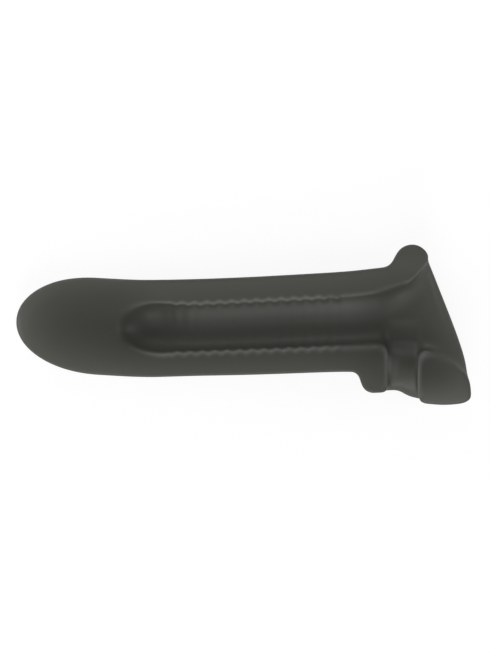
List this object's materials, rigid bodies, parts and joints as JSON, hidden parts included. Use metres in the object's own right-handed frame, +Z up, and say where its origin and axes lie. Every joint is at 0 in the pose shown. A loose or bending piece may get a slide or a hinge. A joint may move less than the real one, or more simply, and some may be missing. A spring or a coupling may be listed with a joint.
{
  "type": "silicone sleeve half-section",
  "caption": "Lengthways half of a soft moulded silicone sleeve, an adult wearable: solid rounded tip, ribbed blind bore, flared base with rolled rim, lower opening and retaining strap.",
  "frame": {"origin": "centre of the bounding box, on the floor that the part lies on", "axes": "+X from the tip to the base, +Y towards the top of the rolled rim, +Z up out of the cut face"},
  "size_m": [0.1986, 0.0708, 0.0257],
  "materials": {
    "silicone": "satin"
  },
  "bodies": {
    "barrel": {"front_barrel": "silicone", "rear_barrel": "silicone"},
    "tip": {"tip": "silicone"},
    "base": {"flared_base": "silicone", "rolled_rim": "silicone", "opening_lip": "silicone"},
    "strap": {"strap": "silicone"}
  },
  "joints": [
    {"name": "tip_bend", "type": "hinge", "parent": "barrel", "child": "tip", "pos_m": [-0.03347, 0.0032, 0.02161], "axis": [-0.0305, 0, 0.9995], "range_deg": [-25, 25], "stiffness_Nm_per_rad": 0.5},
    {"name": "base_bend", "type": "hinge", "parent": "barrel", "child": "base", "pos_m": [0.0315, 0.0032, 0.02359], "axis": [-0.0305, 0, 0.9995], "range_deg": [-18, 18], "stiffness_Nm_per_rad": 0.6},
    {"name": "strap_flex", "type": "hinge", "parent": "base", "child": "strap", "pos_m": [0.0702, -0.0088, 0.00276], "axis": [0.9995, 0, 0.0305], "range_deg": [-8, 12], "stiffness_Nm_per_rad": 0.2}
  ]
}
